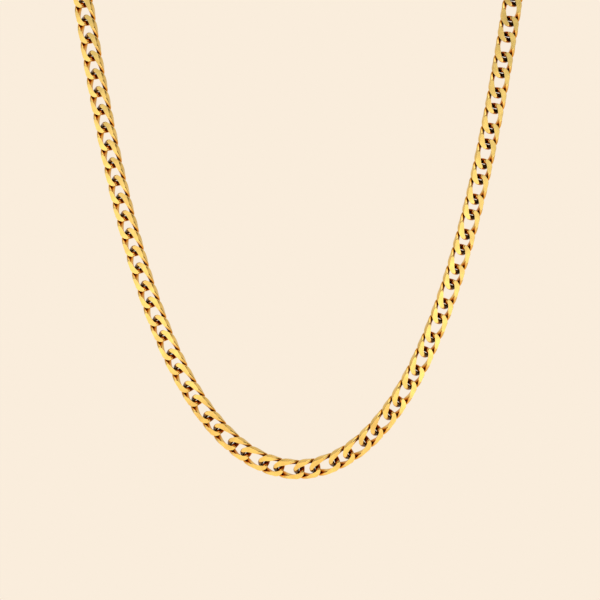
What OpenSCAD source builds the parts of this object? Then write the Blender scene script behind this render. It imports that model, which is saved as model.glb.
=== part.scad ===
// Link chain necklace: a loop of flat-filed curb links that hangs in front and closes with a plain
// barrel clasp at the nape. The origin is the middle of the clasp. +Z is up, the front hangs at -Y, and
// +X is to the right seen from the front. A place on the loop's middle line is its arc length s in
// millimetres: 0 at the lowest point of the front, and positive on the +X side. Each link is a twisted
// ring of wire, cut flat on both faces.

/* [Loop] */
// Length of the whole closed necklace
loop_length = 500; // [450:1:600]
// Shape number of the hanging curve: the radius of its lowest point
sag = 16.65; // [14:0.05:30]
// Length of each front side, from the lowest point to the shoulder
front_run = 114; // [90:0.5:130]
// Radius of the turn over the shoulder
shoulder_radius = 20; // [12:0.5:30]
// Angle turned over the shoulder
shoulder_turn = 80; // [60:1:90]
// Straight stretch on each side of the nape, which the clasp fills
nape_run = 9; // [7:0.5:15]

/* [Links] */
// Wanted distance from one link's middle to the next, adjusted a little to fit whole links
link_spacing = 3.62; // [3.6:0.01:3.68]
// Outer length of a link
link_length = 5.9; // [5.85:0.05:6]
// Outer width of a link
link_width = 3.9; // [3.85:0.05:4.2]
// Roundness of the link's outline: 2 is an oval, more is squarer
link_square = 4.4; // [3.6:0.05:5]
// Angle that each end of a link is turned out of its mean plane
link_twist = 60; // [58.5:0.5:66]
// How soon the twist is taken up from the middle to the end
twist_ease = 1.06; // [0.9:0.01:1.1]
// Distance between the two filed faces
face_gap = 1.76; // [1.4:0.02:2]
// Difference in length that neighbouring links share in front
length_step = 0.22; // [0:0.01:0.3]

/* [Wire] */
// Width of the wire along a link's sides
side_wire = 0.93; // [0.8:0.01:1]
// Width of the wire round a link's ends
end_wire = 1.03; // [0.9:0.01:1.06]
// Depth of the wire along a link's sides
side_depth = 1.64; // [1.3:0.02:1.7]
// Depth of the wire round a link's ends
end_depth = 0.92; // [0.8:0.01:1]
// How soon the depth grows from the end to the side
depth_ease = 8; // [6:0.1:12]

/* [Clasp] */
// Length of the clasp's barrel
barrel_length = 10; // [8:0.1:12]
// Radius of the clasp's barrel
barrel_radius = 2.1; // [1.6:0.05:3]
// Radius of the rounding at the barrel's ends
barrel_round = 0.7; // [0.3:0.05:1.2]
// Radius of the wire in each end eye
eye_wire = 0.44; // [0.35:0.01:0.6]
// Radius from an eye's middle to its wire's middle
eye_radius = 1.35; // [1.2:0.05:1.8]
// Gap left between an eye and the end link's wire
eye_gap = 0.18; // [0.12:0.01:0.3]

/* [Hidden] */

$fn = 32;
// Stretches of wire round a link
rings = 10;
gold = [0.86, 0.64, 0.26];
full_turn = 360;
quarter_turn = 90;
// Corners of the wire's section, as parts of its width (outwards) and depth (forwards)
section = [[0.5, -0.3], [-0.15, -0.5], [-0.5, 0], [-0.15, 0.5], [0.5, 0.3]];
corners = len(section);
// How far the faces are rolled to the outside of the loop: arc length s, degrees
roll_table = [
    [-190, 0], [-150, 12], [-109.6, 22], [-78.3, 22], [-47, 20], [-15.7, 18],
    [15.7, 17], [47, 15], [78.3, 9], [109.6, 4], [150, 2], [190, 0]
];
// Where the long and short links begin and fade out: arc length s, share of the step
step_table = [
    [-62, 0], [-54, 0.18], [-40, 0.82], [-32, 1], [110, 1], [120, 0.84], [140, 0.16], [150, 0]
];

function clamp(x, low, high) = min(max(x, low), high);
function power_of(x, p) = sign(x) * pow(abs(x), p);
function unit(v) = v / norm(v);
function arsinh(x) = ln(x + sqrt(x * x + 1));
function arc_of(degrees) = degrees * PI / 180;
function angle_of(arc) = arc * 180 / PI;
function mirrored(v) = [-v[0], v[1], v[2]];
function mix(a, b, share) = a + (b - a) * share;
// v turned by an angle round a unit axis
function turned(v, axis, angle) =
    v * cos(angle) + cross(axis, v) * sin(angle) + axis * (axis * v) * (1 - cos(angle));

// The right half of the loop is a hanging curve, a turn over the shoulder, a straight run and a turn
// round the neck.
half_length = loop_length / 2;
front_reach = sqrt(sag * sag + front_run * front_run);
front_top = [sag * arsinh(front_run / sag), 0, front_reach - sag];
front_up = [sag / front_reach, 0, front_run / front_reach];
back = [0, 1, 0];
shoulder_arc = shoulder_radius * arc_of(shoulder_turn);
run_way = front_up * cos(shoulder_turn) + back * sin(shoulder_turn);
run_face = front_up * sin(shoulder_turn) - back * cos(shoulder_turn);
run_start = front_top
    + shoulder_radius * (front_up * sin(shoulder_turn) + back * (1 - cos(shoulder_turn)));
// The turn round the neck ends level, heading to -X, so its radius and the straight run solve two
// equations.
neck_side = unit([-1, 0, 0] + run_way * run_way[0]);
neck_turn = quarter_turn + asin(run_way[0]);
neck_axis = cross(run_way, neck_side);
neck_reach = -(run_way[0] * sin(neck_turn) + neck_side[0] * (1 - cos(neck_turn)));
rest_length = half_length - front_run - shoulder_arc - nape_run;
neck_radius = (run_start[0] - nape_run + run_way[0] * rest_length)
    / (neck_reach + run_way[0] * arc_of(neck_turn));
run_length = rest_length - neck_radius * arc_of(neck_turn);
neck_start = run_start + run_way * run_length;
nape_start = neck_start
    + neck_radius * (run_way * sin(neck_turn) + neck_side * (1 - cos(neck_turn)));
nape = nape_start - [nape_run, 0, 0];
nape_face = turned(run_face, neck_axis, neck_turn);
shoulder_end = front_run + shoulder_arc;
run_end = shoulder_end + run_length;
neck_end = half_length - nape_run;

// Each stretch gives [place, way ahead, way that the face looks] at its own arc length.
function front_frame(s) = let (reach = sqrt(sag * sag + s * s))
    [[sag * arsinh(s / sag), 0, reach - sag], [sag / reach, 0, s / reach], -back];
function shoulder_frame(s) = let (a = angle_of(s / shoulder_radius))
    [front_top + shoulder_radius * (front_up * sin(a) + back * (1 - cos(a))),
     front_up * cos(a) + back * sin(a),
     front_up * sin(a) - back * cos(a)];
function run_frame(s) = [run_start + run_way * s, run_way, run_face];
function neck_frame(s) = let (a = angle_of(s / neck_radius))
    [neck_start + neck_radius * (run_way * sin(a) + neck_side * (1 - cos(a))),
     turned(run_way, neck_axis, a),
     turned(run_face, neck_axis, a)];
function nape_frame(s) = [nape_start - [s, 0, 0], [-1, 0, 0], nape_face];
function right_frame(s) =
    s < front_run ? front_frame(s)
    : s < shoulder_end ? shoulder_frame(s - front_run)
    : s < run_end ? run_frame(s - shoulder_end)
    : s < neck_end ? neck_frame(s - run_end)
    : nape_frame(s - neck_end);
// The left half mirrors the right one and is walked the other way.
function loop_frame(s) = let (f = right_frame(abs(s)))
    s < 0 ? [mirrored(f[0]) - nape, -mirrored(f[1]), mirrored(f[2])] : [f[0] - nape, f[1], f[2]];

// The eyes stand half sunk in the barrel's ends, and each holds an end link by its wire. The links share
// what is left of the loop evenly.
eye_centre = barrel_length / 2 + eye_radius;
end_link = eye_centre + eye_radius - eye_wire - eye_gap - end_wire + link_length / 2;
side_links = round((half_length - end_link) / link_spacing + 0.5);
link_pitch = (half_length - end_link) / (side_links - 0.5);

// One corner of one ring of a link, as [along, inwards, forwards], with the twist and the filed faces.
function link_corner(ring, corner, length) = let (
    a = full_turn * ring / rings,
    half_u = (length - end_wire) / 2,
    half_v = (link_width - side_wire) / 2,
    cu = power_of(cos(a), 2 / link_square),
    cv = power_of(sin(a), 2 / link_square),
    out = unit([power_of(cu, link_square - 1) / half_u, power_of(cv, link_square - 1) / half_v]),
    width = mix(end_wire, side_wire, abs(cv)),
    depth = mix(end_depth, side_depth, pow(abs(cv), depth_ease)),
    u = half_u * cu + out[0] * width * section[corner][0],
    v = half_v * cv + out[1] * width * section[corner][0],
    w = depth * section[corner][1],
    twist = -link_twist * power_of(clamp(2 * u / length, -1, 1), twist_ease)
) [
    u,
    v * cos(twist) - w * sin(twist),
    clamp(v * sin(twist) + w * cos(twist), -face_gap / 2, face_gap / 2)
];

function link_points(place, length) = let (
    f = loop_frame(place),
    roll = lookup(place, roll_table),
    inwards = cross(f[2], f[1])
) [
    for (ring = [0 : rings - 1])
        for (corner = [0 : corners - 1])
            let (p = link_corner(ring, corner, length))
                f[0] + f[1] * p[0]
                    + inwards * (p[1] * cos(roll) - p[2] * sin(roll))
                    + f[2] * (p[1] * sin(roll) + p[2] * cos(roll))
];

function point_at(ring, corner) = (ring % rings) * corners + corner % corners;
// The skin of a link: two triangles for each side of each stretch of wire.
link_faces = [
    for (ring = [0 : rings - 1])
        for (corner = [0 : corners - 1])
            let (
                here = point_at(ring, corner),
                beside = point_at(ring, corner + 1),
                ahead = point_at(ring + 1, corner),
                across = point_at(ring + 1, corner + 1)
            )
                each [[here, across, beside], [here, ahead, across]]
];

// Links are counted from the lowest point: odd ones are the long ones.
module link(count) {
    place = (count + 0.5) * link_pitch;
    step = 2 * length_step * lookup(place, step_table);
    length = link_length + (count % 2 == 0 ? -step : step);
    polyhedron(points = link_points(place, length), faces = link_faces, convexity = 4);
}

module chain_right() {
    color(gold)
        for (count = [0 : side_links - 1])
            link(count);
}

module chain_left() {
    color(gold)
        for (count = [-side_links : -1])
            link(count);
}

// Each eye stands square to the end of the link that it holds.
eye_tilt = quarter_turn - link_twist;

module eye(side) {
    inwards = cross(nape_face, [-1, 0, 0]);
    across = inwards * cos(side * eye_tilt) + nape_face * sin(side * eye_tilt);
    translate([side * eye_centre, 0, 0])
        rotate([atan2(across[2], across[1]), 0, 0])
            rotate_extrude()
                translate([eye_radius, 0])
                    circle(r = eye_wire);
}

module barrel() {
    flat = barrel_length - 2 * barrel_round;
    translate([-flat / 2, 0, 0])
        rotate([0, quarter_turn, 0])
            cylinder(h = flat, r = barrel_radius);
    translate([-barrel_length / 2, 0, 0])
        rotate([0, quarter_turn, 0])
            cylinder(h = barrel_length, r = barrel_radius - barrel_round);
    for (side = [-1, 1])
        translate([side * flat / 2, 0, 0])
            rotate([0, quarter_turn, 0])
                rotate_extrude()
                    translate([barrel_radius - barrel_round, 0])
                        circle(r = barrel_round);
}

module clasp() {
    color(gold) {
        barrel();
        eye(1);
        eye(-1);
    }
}

chain_left();
chain_right();
clasp();
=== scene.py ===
# %% [markdown]
# # A flat-filed curb chain, hanging as a necklace
#
# The object is a closed necklace of gold-plated links. Each link is a ring of wire that was
# hooked through its neighbours and twisted until the whole chain lay flat, and then both faces
# of the chain were filed down to two planes. The filed faces are what glitters.
#
# The imported model is the frame of this scene: +Z is up, the front hangs at -Y and the origin is
# the middle of the clasp. Lengths are named in millimetres and turned into metres where an object
# is made. The box of the imported model is kept; its lowest corner places the camera and the floor.

import bpy
import numpy as np
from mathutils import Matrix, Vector


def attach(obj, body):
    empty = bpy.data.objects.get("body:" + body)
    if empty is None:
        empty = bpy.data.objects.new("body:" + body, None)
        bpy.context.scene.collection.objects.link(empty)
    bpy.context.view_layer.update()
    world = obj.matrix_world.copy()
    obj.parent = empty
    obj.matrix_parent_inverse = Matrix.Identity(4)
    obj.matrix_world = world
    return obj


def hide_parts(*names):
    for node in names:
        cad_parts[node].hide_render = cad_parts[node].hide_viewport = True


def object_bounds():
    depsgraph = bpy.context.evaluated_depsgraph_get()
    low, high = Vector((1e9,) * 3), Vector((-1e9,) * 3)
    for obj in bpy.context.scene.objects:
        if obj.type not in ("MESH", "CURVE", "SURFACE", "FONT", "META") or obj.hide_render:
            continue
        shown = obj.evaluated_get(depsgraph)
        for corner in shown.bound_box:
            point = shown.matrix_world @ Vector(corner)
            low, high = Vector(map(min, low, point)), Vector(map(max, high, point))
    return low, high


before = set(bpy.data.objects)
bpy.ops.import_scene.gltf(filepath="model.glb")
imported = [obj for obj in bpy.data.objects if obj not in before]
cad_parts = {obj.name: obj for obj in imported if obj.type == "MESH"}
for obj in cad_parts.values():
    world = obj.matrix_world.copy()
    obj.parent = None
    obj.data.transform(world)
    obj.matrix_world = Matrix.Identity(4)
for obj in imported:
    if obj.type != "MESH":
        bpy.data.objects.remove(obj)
cad_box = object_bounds()
MM = 0.001

# %% [markdown]
# ## The camera
#
# The picture is square on to the hanging curve, with no visible perspective, so a long lens far
# away is right. One pixel of a 600 pixel picture is 0.2 mm at the chain. The lowest point of the
# chain's middle line stands at pixel (298.0, 469.2), and the camera's axis goes through the
# middle of the picture, so those two points give the camera's place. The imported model's box ends
# at the outside of the links, so the middle line lies half the chain's height above the box's
# lowest corner, and half the chain's depth behind it.

# %% Camera
PICTURE_SIDE = 600
PIXEL = 0.2
LOWEST_PIXEL = (298.0, 469.2)
CAMERA_DISTANCE = 900.0
NEAREST_SEEN, FURTHEST_SEEN = 50.0, 20000.0
SENSOR = 36.0
CHAIN_HEIGHT, CHAIN_DEPTH = 4.062, 2.724

low_corner = np.array(cad_box[0]) / MM
lowest_point = np.array([0.0, low_corner[1] + CHAIN_DEPTH / 2, low_corner[2] + CHAIN_HEIGHT / 2])
to_right = (PICTURE_SIDE / 2 - LOWEST_PIXEL[0]) * PIXEL
to_top = (LOWEST_PIXEL[1] - PICTURE_SIDE / 2) * PIXEL
camera_data = bpy.data.cameras.new("camera")
camera_data.sensor_width = SENSOR
camera_data.lens = SENSOR * CAMERA_DISTANCE / (PICTURE_SIDE * PIXEL)
camera_data.clip_start, camera_data.clip_end = NEAREST_SEEN * MM, FURTHEST_SEEN * MM
camera = bpy.data.objects.new("camera", camera_data)
camera.location = (lowest_point + [to_right, -CAMERA_DISTANCE, to_top]) * MM
camera.rotation_euler = (np.pi / 2, 0.0, 0.0)
bpy.context.scene.collection.objects.link(camera)
bpy.context.scene.camera = camera
print("lens", camera_data.lens, "camera at", [round(v, 4) for v in camera.location])

# %% [markdown]
# ## The route of the chain
#
# A chain that hangs from two points takes the form of a catenary. With s the length along the
# chain from its lowest point and a the radius of the curve there, x = a asinh(s / a) and
# z = sqrt(a^2 + s^2) - a. Past the front the loop turns back over the shoulders, runs straight,
# turns round the nape in one arc and ends in a straight stretch where the clasp is. These are
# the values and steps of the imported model, written for whole arrays of s at once.

# %% Route
LOOP_LENGTH = 500.0
SAG = 16.65
FRONT_RUN = 114.0
SHOULDER_RADIUS, SHOULDER_TURN = 20.0, np.radians(80)
NAPE_RUN = 9.0
AXIS_X, AXIS_Y = np.eye(3)[:2]

half_length = LOOP_LENGTH / 2
front_reach = np.hypot(SAG, FRONT_RUN)
front_top = np.array([SAG * np.arcsinh(FRONT_RUN / SAG), 0.0, front_reach - SAG])
front_up = np.array([SAG, 0.0, FRONT_RUN]) / front_reach
run_way = front_up * np.cos(SHOULDER_TURN) + AXIS_Y * np.sin(SHOULDER_TURN)
run_face = front_up * np.sin(SHOULDER_TURN) - AXIS_Y * np.cos(SHOULDER_TURN)
shoulder_end = FRONT_RUN + SHOULDER_RADIUS * SHOULDER_TURN
run_start = front_top + SHOULDER_RADIUS * (
    front_up * np.sin(SHOULDER_TURN) + AXIS_Y * (1 - np.cos(SHOULDER_TURN)))
neck_side = AXIS_X * -1 + run_way * run_way[0]
neck_side = neck_side / np.linalg.norm(neck_side)
neck_axis = np.cross(run_way, neck_side)
neck_turn = np.pi / 2 + np.arcsin(run_way[0])
neck_reach = -(run_way[0] * np.sin(neck_turn) + neck_side[0] * (1 - np.cos(neck_turn)))
rest_length = half_length - shoulder_end - NAPE_RUN
neck_radius = (run_start[0] - NAPE_RUN + run_way[0] * rest_length) / (
    neck_reach + run_way[0] * neck_turn)
run_end = shoulder_end + rest_length - neck_radius * neck_turn
neck_start = run_start + run_way * (run_end - shoulder_end)
nape_start = neck_start + neck_radius * (
    run_way * np.sin(neck_turn) + neck_side * (1 - np.cos(neck_turn)))
nape = nape_start - AXIS_X * NAPE_RUN


def turned(vector, angle):
    """The vector turned round the neck's axis by an angle a:
    v cos a + (axis x v) sin a + axis (axis . v) (1 - cos a)."""
    return (vector * np.cos(angle) + np.cross(neck_axis, vector) * np.sin(angle)
            + neck_axis * (neck_axis @ vector) * (1 - np.cos(angle)))


def loop_frames(s):
    """Place, way ahead and way faced at each arc length s: the stretch that |s| lies in gives
    all three, and the left half mirrors the right one in X and is walked the other way."""
    a = np.abs(s)[:, None]
    zero = np.zeros_like(a)
    reach = np.hypot(SAG, a)
    over = (a - FRONT_RUN) / SHOULDER_RADIUS
    around = (a - run_end) / neck_radius
    stretches = [
        (np.hstack([SAG * np.arcsinh(a / SAG), zero, reach - SAG]),
         np.hstack([SAG / reach, zero, a / reach]),
         zero - AXIS_Y),
        (front_top + SHOULDER_RADIUS * (front_up * np.sin(over) + AXIS_Y * (1 - np.cos(over))),
         front_up * np.cos(over) + AXIS_Y * np.sin(over),
         front_up * np.sin(over) - AXIS_Y * np.cos(over)),
        (run_start + run_way * (a - shoulder_end), zero + run_way, zero + run_face),
        (neck_start + neck_radius * (run_way * np.sin(around) + neck_side * (1 - np.cos(around))),
         turned(run_way, around),
         turned(run_face, around)),
        (nape_start - AXIS_X * (a - half_length + NAPE_RUN),
         zero - AXIS_X,
         zero + turned(run_face, neck_turn)),
    ]
    which = np.searchsorted([FRONT_RUN, shoulder_end, run_end, half_length - NAPE_RUN], a[:, 0],
                            side="right")
    rows = np.arange(len(s))
    place, ahead, faced = (np.stack(part)[which, rows] for part in zip(*stretches))
    hand = np.where(s < 0, -1.0, 1.0)[:, None]
    mirror = np.where(s[:, None] < 0, [-1.0, 1.0, 1.0], [1.0, 1.0, 1.0])
    return place * mirror - nape, ahead * mirror * hand, faced * mirror


print("run", round(run_end - shoulder_end, 2), "mm, neck radius", round(neck_radius, 2), "mm")

# %% [markdown]
# ## The wire of one link
#
# A link starts as a flat ring with a squarish oval outline, of wire that is deeper along its
# sides than round its ends. Its ends are turned out of the ring's plane, one each way, so that
# neighbours can lie flat while they hook through each other.
#
# A modeller could twist a torus with a Simple Deform modifier. Here the same steps are formulas on
# a grid: one direction runs round the ring, the other round the wire. That gives every link its
# own length at no cost. The wire's section is an oval that is squarer on the outer side of the
# ring, where the power in its formula is smaller.

# %% Link wire
LINK_LENGTH, LINK_WIDTH = 5.9, 3.9
LINK_SQUARE = 4.4
LINK_TWIST, TWIST_EASE = np.radians(60), 1.06
SIDE_WIRE, END_WIRE = 0.93, 1.1
SIDE_DEPTH, END_DEPTH, DEPTH_EASE = 2.0, 0.92, 8.0
OUTER_EDGE, INNER_EDGE = 0.65, 0.95
RINGS = 64
OUTLINE_STEPS = 4000


def power_of(x, p):
    """sign(x) |x|^p."""
    return np.sign(x) * np.abs(x) ** p


def mix(a, b, share):
    """a + (b - a) share."""
    return a + (b - a) * share


def even_outline(length, count):
    """The ring's superellipse, |u|^n + |v|^n = 1, at even steps of its own arc length."""
    fine = np.linspace(0, 2 * np.pi, OUTLINE_STEPS + 1)
    u, v = power_of(np.cos(fine), 2 / LINK_SQUARE), power_of(np.sin(fine), 2 / LINK_SQUARE)
    du, dv = np.diff(u) * (length - END_WIRE) / 2, np.diff(v) * (LINK_WIDTH - SIDE_WIRE) / 2
    walked = np.concatenate([[0], np.cumsum(np.hypot(du, dv))])
    steps = np.arange(count) / count * walked[-1]
    return np.interp(steps, walked, u), np.interp(steps, walked, v)


def twisted_wire(length, q):
    """Points [ring, corner, (along, inwards, forwards)] before filing, at angles q round the wire:
    an outline point plus its outward normal times the section, which is (cos q)^e, (sin q)^e with
    a power e that grows from the outer to the inner side, all turned about the length by
    -twist (2u / length)^ease."""
    e = mix(OUTER_EDGE, INNER_EDGE, (1 - np.cos(q)) / 2)
    half_u, half_v = (length - END_WIRE) / 2, (LINK_WIDTH - SIDE_WIRE) / 2
    cu, cv = (c[:, None] for c in even_outline(length, RINGS))
    out_u, out_v = power_of(cu, LINK_SQUARE - 1) / half_u, power_of(cv, LINK_SQUARE - 1) / half_v
    reach = np.hypot(out_u, out_v)
    width = mix(END_WIRE, SIDE_WIRE, np.abs(cv)) * power_of(np.cos(q), e) / 2
    depth = mix(END_DEPTH, SIDE_DEPTH, np.abs(cv) ** DEPTH_EASE) * power_of(np.sin(q), e) / 2
    u = half_u * cu + out_u / reach * width
    v = half_v * cv + out_v / reach * width
    twist = -LINK_TWIST * power_of(np.clip(2 * u / length, -1, 1), TWIST_EASE)
    return np.stack([u, v * np.cos(twist) - depth * np.sin(twist),
                     v * np.sin(twist) + depth * np.cos(twist)], axis=-1)


print("a link is", LINK_LENGTH, "x", LINK_WIDTH, "mm, with", RINGS, "rings round it")

# %% [markdown]
# ## Filing the link
#
# What stands past a filed face is cut down to it. A file rocks a little, so each face is slightly
# crowned: it is 0.1 mm lower at a link's ends than at its middle.
#
# Two planes and a Boolean would cut the faces too, and leave long thin triangles that shade badly.
# Here the points are only moved onto the faces. The grid lines along the ring are set first, so
# that four of them run along the edges of the filed faces, which keeps those edges crisp. To find
# the edges, the wire is worked out at many fine steps round it, and the steps past each face are
# counted.

# %% Filed link
FACE_GAP, FACE_CROWN = 1.76, 0.1
FACE_STEPS, WALL_STEPS = 4, 7
EDGE_LINES = (0, FACE_STEPS, FACE_STEPS + WALL_STEPS, 2 * FACE_STEPS + WALL_STEPS)
SEARCH_STEPS = 720
SEARCH_TURN = -2 * np.pi / SEARCH_STEPS
LEAST_FACE = 12


def face_height(points, length):
    """How high a filed face stands: half the gap, less a crown that grows as (2u / length)^2."""
    return FACE_GAP / 2 - FACE_CROWN * (2 * points[..., 0] / length) ** 2


def edge_angles(past):
    """Where the wire passes through a filed face, as two steps round it for each ring: the steps
    past the face are counted to both sides of the furthest one, and are never fewer than a few."""
    middle = past.argmax(axis=1)[:, None]
    steps = (middle + np.arange(SEARCH_STEPS) - SEARCH_STEPS // 2) % SEARCH_STEPS
    outside = np.take_along_axis(past, steps, axis=1) > 0
    before = outside[:, :SEARCH_STEPS // 2].sum(axis=1, keepdims=True)
    after = outside[:, SEARCH_STEPS // 2 + 1:].sum(axis=1, keepdims=True)
    return middle - np.maximum(before, LEAST_FACE), middle + np.maximum(after, LEAST_FACE)


def filed_link(length):
    """The grid of one link and which of its points are filed: even steps between the four edges
    of the filed faces, and forwards cut to them. The angle runs backwards, so that the faces look
    outwards."""
    search = twisted_wire(length, SEARCH_TURN * np.arange(SEARCH_STEPS))
    height = face_height(search, length)
    front, back = edge_angles(search[..., 2] - height), edge_angles(-search[..., 2] - height)
    edges = [*back, *front, back[0] + SEARCH_STEPS]
    spans = zip(edges[:-1], edges[1:], (FACE_STEPS, WALL_STEPS) * 2)
    steps = np.hstack([mix(a, b, np.arange(n) / n) for a, b, n in spans])
    wire = twisted_wire(length, SEARCH_TURN * steps)
    height = face_height(wire, length)
    filed = np.abs(wire[..., 2]) >= height
    wire[..., 2] = np.clip(wire[..., 2], -height, height)
    return wire, filed


print("the filed faces are", FACE_GAP, "mm apart, with", 2 * (FACE_STEPS + WALL_STEPS),
      "corners round the wire")

# %% [markdown]
# ## Laying the links along the route
#
# The links sit at an even pitch. On the real chain they lean: their filed faces turn towards
# the outside of the curve, by 22 degrees on the left and less and less to the right. Long and
# short links take turns along the bottom and the right side. Both are short tables over the arc
# length. The clasp's sizes are here as well, because its eyes settle where the end links sit.

# %% Places of the links
LINK_SPACING = 3.62
LENGTH_STEP = 0.22
BARREL_LENGTH, BARREL_RADIUS, BARREL_ROUND = 10.0, 2.1, 0.7
EYE_WIRE, EYE_RADIUS, EYE_GAP = 0.44, 1.35, 0.18
ROLL_TABLE = np.array([
    [-190, 0], [-150, 12], [-109.6, 22], [-78.3, 22], [-47, 20], [-15.7, 18],
    [15.7, 17], [47, 15], [78.3, 9], [109.6, 4], [150, 2], [190, 0]])
STEP_TABLE = np.array([
    [-62, 0], [-54, 0.18], [-40, 0.82], [-32, 1], [110, 1], [120, 0.84], [140, 0.16], [150, 0]])

eye_centre = BARREL_LENGTH / 2 + EYE_RADIUS
end_link = eye_centre + EYE_RADIUS - EYE_WIRE - EYE_GAP - END_WIRE + LINK_LENGTH / 2
side_links = round((half_length - end_link) / LINK_SPACING + 0.5)
link_pitch = (half_length - end_link) / (side_links - 0.5)


def laid_links(counts):
    """Link points in the frame, in millimetres, and which of them lie on a filed face: local
    (u, v, w) go along the way ahead, inwards and the way faced, after v and w are turned by the
    link's lean."""
    s = (counts + 0.5) * link_pitch
    step = 2 * LENGTH_STEP * np.interp(s, *STEP_TABLE.T)
    lengths = LINK_LENGTH + np.where(counts % 2 == 0, -step, step)
    local, filed = map(np.stack, zip(*[filed_link(length) for length in lengths]))
    lean = np.radians(np.interp(s, *ROLL_TABLE.T))[:, None, None]
    v = local[..., 1] * np.cos(lean) - local[..., 2] * np.sin(lean)
    w = local[..., 1] * np.sin(lean) + local[..., 2] * np.cos(lean)
    place, ahead, faced = loop_frames(s)
    turned_local = np.stack([local[..., 0], v, w], axis=-1)
    axes = np.stack([ahead, np.cross(faced, ahead), faced], axis=1)
    points = place[:, None, None] + np.einsum("lrcj,ljk->lrck", turned_local, axes)
    return points, filed


print(2 * side_links, "links at a pitch of", round(link_pitch, 4), "mm")

# %% [markdown]
# ## From points to a mesh
#
# One function turns grids of points into closed metal shells. A grid either runs round in both
# directions, as a ring of wire does, or is closed by a flat face at each end, as a turned barrel
# is. The faces wind so that they look outwards, which the positive volume confirms. The UV map is
# measured in millimetres along and round the wire, so that polishing lines can follow the metal,
# and it starts at another place on each link, so that no two links carry the same lines. An
# attribute marks the points that lie on a filed face. Smooth shading would round off the edges of
# the filed faces, so those edges are marked sharp.

# %% Mesh helpers
SHARP_ANGLE = np.radians(75)
UV_STEP = (7.3, 3.1)


def shell_faces(rings, corners, looped):
    """Corner numbers of one shell, and the steps along and round it at each: quads (r, c),
    (r, c + 1), (r + 1, c + 1), (r + 1, c), with c taken modulo its count, and r too where the
    shell is looped."""
    spans = rings if looped else rings - 1
    ring, corner = np.meshgrid(np.arange(spans), np.arange(corners), indexing="ij")
    ahead, beside = (ring + 1) % rings, (corner + 1) % corners
    quads = np.stack([ring * corners + corner, ring * corners + beside,
                      ahead * corners + beside, ahead * corners + corner], axis=-1)
    along = np.stack([ring, ring, ring + 1, ring + 1], axis=-1)
    around = np.stack([corner, corner + 1, corner + 1, corner], axis=-1)
    return quads.reshape(-1, 4), np.stack([along, around], axis=-1).reshape(-1, 2)


def shade_edges(mesh, creased):
    """Smooth shading, but sharp at an edge that turns by more than the sharp angle or that joins
    two creased points."""
    mesh.shade_smooth()
    mesh.set_sharp_from_angle(angle=SHARP_ANGLE)
    ends = np.zeros(2 * len(mesh.edges), dtype=np.int32)
    mesh.edges.foreach_get("vertices", ends)
    sharp = np.zeros(len(mesh.edges), dtype=bool)
    mesh.edges.foreach_get("use_edge_sharp", sharp)
    sharp |= creased[ends].reshape(-1, 2).all(axis=1)
    mesh.edges.foreach_set("use_edge_sharp", sharp)


def volume_of(mesh):
    """Volume inside a mesh in cubic millimetres: the sum of (a x b) . c / 6 over the triangles
    a, b, c, which is positive where the faces look outwards."""
    mesh.calc_loop_triangles()
    numbers = np.zeros(3 * len(mesh.loop_triangles), dtype=np.int32)
    mesh.loop_triangles.foreach_get("vertices", numbers)
    places = np.zeros(3 * len(mesh.vertices), dtype=np.float32)
    mesh.vertices.foreach_get("co", places)
    places = places.astype(float).reshape(-1, 3) / MM
    a, b, c = places[numbers].reshape(-1, 3, 3).transpose(1, 0, 2)
    return (np.cross(a, b) * c).sum() / 6


def metal_shells(name, parts, edge_lines=()):
    """Joins (grids, filed, looped) parts into one mesh object. Grids are [piece, ring, corner, 3]
    in millimetres and filed is true at their points on a filed face. Edges along the edge lines
    are sharp where they are filed."""
    points, marks, creases, faces, uvs, start = [], [], [], [], [], 0
    for grids, filed_marks, looped in parts:
        pieces, rings, corners = grids.shape[:3]
        piece_numbers = np.arange(pieces)[:, None, None]
        firsts = start + piece_numbers * rings * corners
        quads, steps = shell_faces(rings, corners, looped)
        size = [np.linalg.norm(np.diff(grids, axis=axis), axis=-1).mean() for axis in (1, 2)]
        faces += (quads + firsts).reshape(-1, 4).tolist()
        uvs.append((steps * size + piece_numbers * UV_STEP).reshape(-1, 2))
        if not looped:
            caps = np.stack([np.arange(corners)[::-1], np.arange(corners) + (rings - 1) * corners])
            faces += (caps + firsts).reshape(-1, corners).tolist()
            uvs.append(np.zeros((pieces * caps.size, 2)))
        points.append(grids.reshape(-1, 3))
        marks.append(filed_marks.ravel())
        creases.append((filed_marks & np.isin(np.arange(corners), edge_lines)).ravel())
        start += pieces * rings * corners
    mesh = bpy.data.meshes.new(name)
    mesh.from_pydata(np.concatenate(points) * MM, [], faces)
    uv = mesh.uv_layers.new(name="wire_mm")
    uv.data.foreach_set("uv", np.concatenate(uvs).astype(np.float32).ravel())
    mark = mesh.attributes.new("filed", "FLOAT", "POINT")
    mark.data.foreach_set("value", np.concatenate(marks).astype(np.float32))
    shade_edges(mesh, np.concatenate(creases))
    made = bpy.data.objects.new(name, mesh)
    bpy.context.scene.collection.objects.link(made)
    print(name, len(faces), "faces,", round(volume_of(mesh), 1), "mm3 of metal")
    return made


# %% [markdown]
# ## The two strands
#
# The lowest point of the loop lies between two links, so both halves of the chain have the same
# number of them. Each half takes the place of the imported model's coarser links on its side.
# Nothing moves on a necklace that hangs still, so both ride on the root body.

# %% Chain pieces
def side_of_chain(name, counts):
    """All links of one side, each a looped shell."""
    links, on_face = laid_links(counts)
    return metal_shells(name, [(links, on_face, True)], EDGE_LINES)


left_chain = side_of_chain("left_chain", np.arange(-side_links, 0))
right_chain = side_of_chain("right_chain", np.arange(side_links))
for piece, node in ((left_chain, "chain_left"), (right_chain, "chain_right")):
    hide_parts(node)
    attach(piece, "root")

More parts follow.
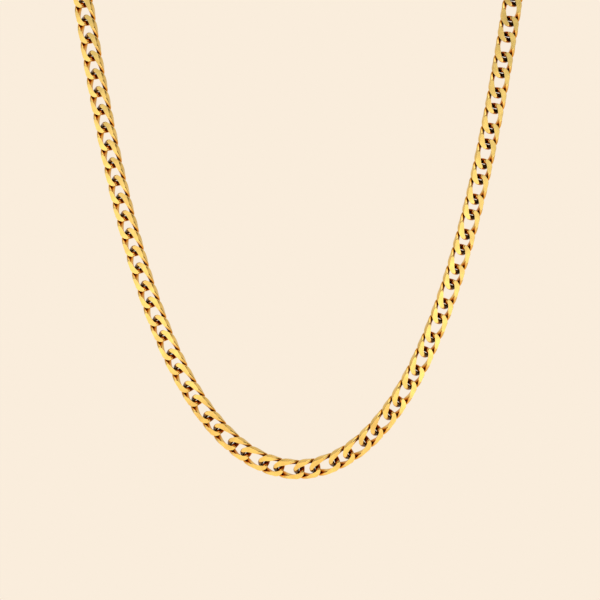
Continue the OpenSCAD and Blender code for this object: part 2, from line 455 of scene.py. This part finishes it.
# %% [markdown]
# ## The clasp at the nape
#
# The photograph doesn't show how the necklace closes. A plain barrel clasp is the usual one for a
# chain of this size: a turned barrel whose ends are rounded over, with a wire eye in each end that
# holds the last link. A lathe makes the barrel, and a wire ring is a circle carried round a
# circle, so both are grids again. The eyes stand square to the ends of their links and are sunk
# half into the barrel, where they are soldered.

# %% Clasp
TURNED_STEPS, TURNED_CORNERS = 8, 64
EYE_RINGS, EYE_CORNERS = 48, 20


def turned_barrel():
    """Stations from one end to the other, each a circle square to X: an edge rounded over by a
    quarter circle, the straight side, and the first edge mirrored."""
    q = np.linspace(0, np.pi / 2, TURNED_STEPS + 1)
    along = BARREL_LENGTH / 2 - BARREL_ROUND * (1 - np.cos(q))
    deep = BARREL_RADIUS - BARREL_ROUND * (1 - np.sin(q))
    along, deep = np.concatenate([along, -along[::-1]]), np.concatenate([deep, deep[::-1]])
    around = -2 * np.pi * np.arange(TURNED_CORNERS) / TURNED_CORNERS
    return np.stack(np.broadcast_arrays(along[:, None], deep[:, None] * np.cos(around),
                                        deep[:, None] * np.sin(around)), axis=-1)


def wire_eye(side):
    """A circle of wire carried round a circle, in the plane of X and the way that is turned from
    inwards towards the face by a quarter turn less the link's twist."""
    tilt = side * (np.pi / 2 - LINK_TWIST)
    faced = turned(run_face, neck_turn)
    across = np.cross(faced, -AXIS_X) * np.cos(tilt) + faced * np.sin(tilt)
    upright = np.cross(AXIS_X, across)
    p = (2 * np.pi * np.arange(EYE_RINGS) / EYE_RINGS)[:, None, None]
    q = (-2 * np.pi * np.arange(EYE_CORNERS) / EYE_CORNERS)[:, None]
    out = AXIS_X * np.cos(p) + across * np.sin(p)
    return (AXIS_X * side * eye_centre + out * (EYE_RADIUS + EYE_WIRE * np.cos(q))
            + upright * EYE_WIRE * np.sin(q))


clasp_grids = [(turned_barrel(), False), (wire_eye(1), True), (wire_eye(-1), True)]
nape_clasp = metal_shells("nape_clasp", [
    (grid[None], np.zeros(grid.shape[:2], dtype=bool), looped) for grid, looped in clasp_grids])
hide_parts("clasp")
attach(nape_clasp, "root")

# %% [markdown]
# ## Colours and nodes
#
# Colours are written as the hex codes that a paint program shows. Those are sRGB, and the shader
# works in linear light, so one function turns them. A second function adds a shader node, sets
# its options and fills or links its inputs.

# %% Colour and node helpers
SRGB_KNEE, SRGB_SLOPE, SRGB_OFFSET, SRGB_POWER = 0.04045, 12.92, 0.055, 2.4


def linear(code):
    """An sRGB hex colour as linear RGBA: c / 12.92 up to 0.04045, else ((c + 0.055) / 1.055)^2.4."""
    c = np.array([int(code[i:i + 2], 16) for i in (0, 2, 4)]) / 255
    curved = ((c + SRGB_OFFSET) / (1 + SRGB_OFFSET)) ** SRGB_POWER
    return (*np.where(c <= SRGB_KNEE, c / SRGB_SLOPE, curved).tolist(), 1.0)


def add_node(tree, kind, settings=None, **inputs):
    """Adds a node, sets its attributes, and sets or links each named input. An underscore stands
    for a space, and a name such as A_Color picks the socket by its identifier."""
    node = tree.nodes.new(kind)
    for key, value in (settings or {}).items():
        setattr(node, key, value)
    for key, value in inputs.items():
        socket = next(s for s in node.inputs if key in (s.identifier, s.name.replace(" ", "_")))
        if isinstance(value, bpy.types.NodeSocket):
            tree.links.new(value, socket)
        else:
            socket.default_value = value
    return node


# %% [markdown]
# ## Polished gold plate, with painted shade
#
# The real metal is brass wire, polished on a wheel, filed flat on both faces and then plated with
# gold. The plate takes over the polish: it mirrors the studio, and its yellow belongs to the
# metal, so the colour goes into the base colour of a full metal. How open a spot lies picks the
# colour from three stops, so shade is painted into the colour: pale plate on the open faces, a
# deeper gold where links shade each other and light bounces from gold to gold, and a painted
# near-black shade in the crevices.
#
# The wheel leaves fine lines along the wire, and the file leaves duller faces. Real lines are
# about 0.02 mm apart, which is too fine to show, so they are drawn 0.1 mm apart. One cell of the
# noise is a light and a dark line, so it is two gaps wide. A second noise shifts the tone a little
# from place to place, as hand polishing does.

# %% Gold plate
# The stops paint shade into the colour: near-black painted shade in the crevices, a deeper gold for
# painted shade and bounced light between links, and the plate's own pale gold.
GOLD_AND_PAINTED_SHADE_STOPS = [(0.3, linear("120701")), (0.7, linear("E08E12")), (1.0, linear("F7D47C"))]
SHADE_REACH, SHADE_SAMPLES = 1.2, 16
TONE_SIZE, TONE_DETAIL = 1.6, 1.0
TONE_NOISE, TONE_RANGE = (0.3, 0.7), (0.84, 1.05)
LINE_LENGTH, LINE_GAP, LINE_DETAIL = 2.5, 0.1, 2.0
LINE_DEPTH, LINE_STRENGTH = 0.006, 0.03
WHEEL_ROUGH, FILED_ROUGH, LINE_ROUGH = 0.16, 0.24, 0.03


def polished_gold_with_painted_shade():
    """Metal with shade painted into its colour, deepest in the crevices, and whose roughness and
    bump follow the lines.
    """
    material = bpy.data.materials.new("polished gold plate")
    material.use_nodes = True
    tree = material.node_tree
    shader = tree.nodes["Principled BSDF"]
    shader.inputs["Metallic"].default_value = 1.0
    on_wire = add_node(tree, "ShaderNodeUVMap", {"uv_map": "wire_mm"})
    stretched = add_node(tree, "ShaderNodeMapping", Vector=on_wire.outputs["UV"],
                         Scale=(1 / LINE_LENGTH, 1 / (2 * LINE_GAP), 1.0))
    lines = add_node(tree, "ShaderNodeTexNoise", Vector=stretched.outputs["Vector"], Scale=1.0,
                     Detail=LINE_DETAIL)
    in_space = add_node(tree, "ShaderNodeTexCoord")
    tones = add_node(tree, "ShaderNodeTexNoise", Vector=in_space.outputs["Object"],
                     Scale=1 / (TONE_SIZE * MM), Detail=TONE_DETAIL)
    # Painted shade: ambient occlusion darkens the base colour where links shade each other.
    shade = add_node(tree, "ShaderNodeAmbientOcclusion", {"samples": SHADE_SAMPLES},
                     Distance=SHADE_REACH * MM)
    painted_shade_gold = add_node(tree, "ShaderNodeValToRGB", Fac=shade.outputs["AO"])
    stops = painted_shade_gold.color_ramp.elements
    stops.new(GOLD_AND_PAINTED_SHADE_STOPS[1][0])
    for stop, (position, colour) in zip(stops, GOLD_AND_PAINTED_SHADE_STOPS):
        stop.position, stop.color = position, colour
    tone = add_node(tree, "ShaderNodeMapRange", Value=tones.outputs["Fac"],
                    From_Min=TONE_NOISE[0], From_Max=TONE_NOISE[1],
                    To_Min=TONE_RANGE[0], To_Max=TONE_RANGE[1])
    toned = add_node(tree, "ShaderNodeHueSaturation", Color=painted_shade_gold.outputs["Color"],
                     Value=tone.outputs["Result"])
    tree.links.new(toned.outputs["Color"], shader.inputs["Base Color"])
    filed_face = add_node(tree, "ShaderNodeAttribute", {"attribute_name": "filed"})
    base = add_node(tree, "ShaderNodeMapRange", Value=filed_face.outputs["Fac"],
                    To_Min=WHEEL_ROUGH, To_Max=FILED_ROUGH)
    rough = add_node(tree, "ShaderNodeMath", {"operation": "MULTIPLY_ADD"},
                     Value=lines.outputs["Fac"], Value_001=LINE_ROUGH,
                     Value_002=base.outputs["Result"])
    tree.links.new(rough.outputs["Value"], shader.inputs["Roughness"])
    scratch = add_node(tree, "ShaderNodeBump", Strength=LINE_STRENGTH, Distance=LINE_DEPTH * MM,
                       Height=lines.outputs["Fac"])
    tree.links.new(scratch.outputs["Normal"], shader.inputs["Normal"])
    return material


gold_plate = polished_gold_with_painted_shade()
for piece in (left_chain, right_chain, nape_clasp):
    piece.data.materials.append(gold_plate)
print(gold_plate.name, "with", len(gold_plate.node_tree.nodes), "nodes, on 3 pieces")

# %% [markdown]
# ## The studio
#
# Metal shows what it mirrors. The photograph was taken from a chain on cream paper, with a large
# soft light at the left and a dark room behind the camera. Here the world does the work of the
# paper. The camera sees an even cream, which also lights the floor. The metal mirrors dimmer paper
# behind the chain and a dark room in front of it. A mirrored ray's share of way in Y decides
# between the two, and the values in BEHIND say where the paper begins and where it is full. A sheet
# of paper right behind the chain would hide it in views from the back.

# %% World
PAPER = linear("FAEDDC")
PAPER_GLOW = 0.85
ROOM = (0.03, 0.026, 0.02, 1.0)
BEHIND = (-0.1, 0.3)

world = bpy.data.worlds.new("studio")
world.use_nodes = True
bpy.context.scene.world = world
bpy.context.scene.view_settings.view_transform = "Standard"
sky = world.node_tree
sky.nodes.clear()
way = add_node(sky, "ShaderNodeTexCoord")
split = add_node(sky, "ShaderNodeSeparateXYZ", Vector=way.outputs["Generated"])
behind = add_node(sky, "ShaderNodeMapRange", {"interpolation_type": "SMOOTHSTEP"},
                  Value=split.outputs["Y"], From_Min=BEHIND[0], From_Max=BEHIND[1])
glow = add_node(sky, "ShaderNodeMix", {"data_type": "RGBA"}, Factor_Float=behind.outputs["Result"],
                A_Color=ROOM, B_Color=(*(PAPER_GLOW * np.array(PAPER[:3])), 1.0))
seen = add_node(sky, "ShaderNodeBackground", Color=PAPER)
mirrored = add_node(sky, "ShaderNodeBackground", Color=glow.outputs["Result"])
path = add_node(sky, "ShaderNodeLightPath")
plain = add_node(sky, "ShaderNodeMath", {"operation": "MAXIMUM"},
                 Value=path.outputs["Is Camera Ray"], Value_001=path.outputs["Is Diffuse Ray"])
both = add_node(sky, "ShaderNodeMixShader", Fac=plain.outputs["Value"],
                Shader=mirrored.outputs[0], Shader_001=seen.outputs[0])
add_node(sky, "ShaderNodeOutputWorld", Surface=both.outputs[0])
print(world.name, "with", len(sky.nodes), "nodes")

# %% [markdown]
# ## The lights
#
# Four area lights stand for the window and the softer cards. They are large and dim, because a
# filed face is a small flat mirror: a small bright light would show in a few faces only, and leave
# the others dark. The key light stands at the left, the fill at the right, and the low and top
# ones reach the walls of the links. All look at the middle of the front.

# %% Lights
FRONT_MIDDLE = 47.0
SOFT_BOXES = [
    ("key", (-380, -300, 120), (640, 640), 1.0),
    ("fill", (280, -360, 60), (400, 400), 0.5),
    ("low", (20, -330, -300), (560, 360), 0.22),
    ("top", (0, -120, 330), (500, 240), 0.55),
]


def soft_box(name, place, size, power):
    """A rectangular area light that looks at the middle of the front, in millimetres and watts.
    Its place is measured from the lowest point."""
    light = bpy.data.lights.new(name, "AREA")
    light.shape = "RECTANGLE"
    light.size, light.size_y = size[0] * MM, size[1] * MM
    light.energy = power
    made = bpy.data.objects.new(name, light)
    made.location = (lowest_point + place) * MM
    target = Vector((lowest_point + [0, 0, FRONT_MIDDLE]) * MM)
    made.rotation_euler = (target - made.location).to_track_quat("-Z", "Y").to_euler()
    bpy.context.scene.collection.objects.link(made)


for row in SOFT_BOXES:
    soft_box(*row)
print(len(SOFT_BOXES), "soft boxes")

# %% [markdown]
# ## The floor
#
# One flat sheet of matte paper lies far below the necklace, where only views from above see it.

# %% Floor
FLOOR_DROP, FLOOR_REACH = 270.0, 3000.0
FLOOR_COLOUR, FLOOR_ROUGH = linear("EFE3D3"), 0.9

floor_z = low_corner[2] - FLOOR_DROP
floor_corners = [(x, y, floor_z) for x, y in ((-1, -1), (1, -1), (1, 1), (-1, 1))]
floor_corners = np.array(floor_corners) * [FLOOR_REACH, FLOOR_REACH, 1.0] * MM
floor_mesh = bpy.data.meshes.new("floor")
floor_mesh.from_pydata(floor_corners, [], [(0, 1, 2, 3)])
floor = bpy.data.objects.new("floor", floor_mesh)
bpy.context.scene.collection.objects.link(floor)
matte_paper = bpy.data.materials.new("matte cream paper")
matte_paper.use_nodes = True
matte_shader = matte_paper.node_tree.nodes["Principled BSDF"]
matte_shader.inputs["Base Color"].default_value = FLOOR_COLOUR
matte_shader.inputs["Roughness"].default_value = FLOOR_ROUGH
floor_mesh.materials.append(matte_paper)
print("floor at", round(floor_z, 1), "mm")
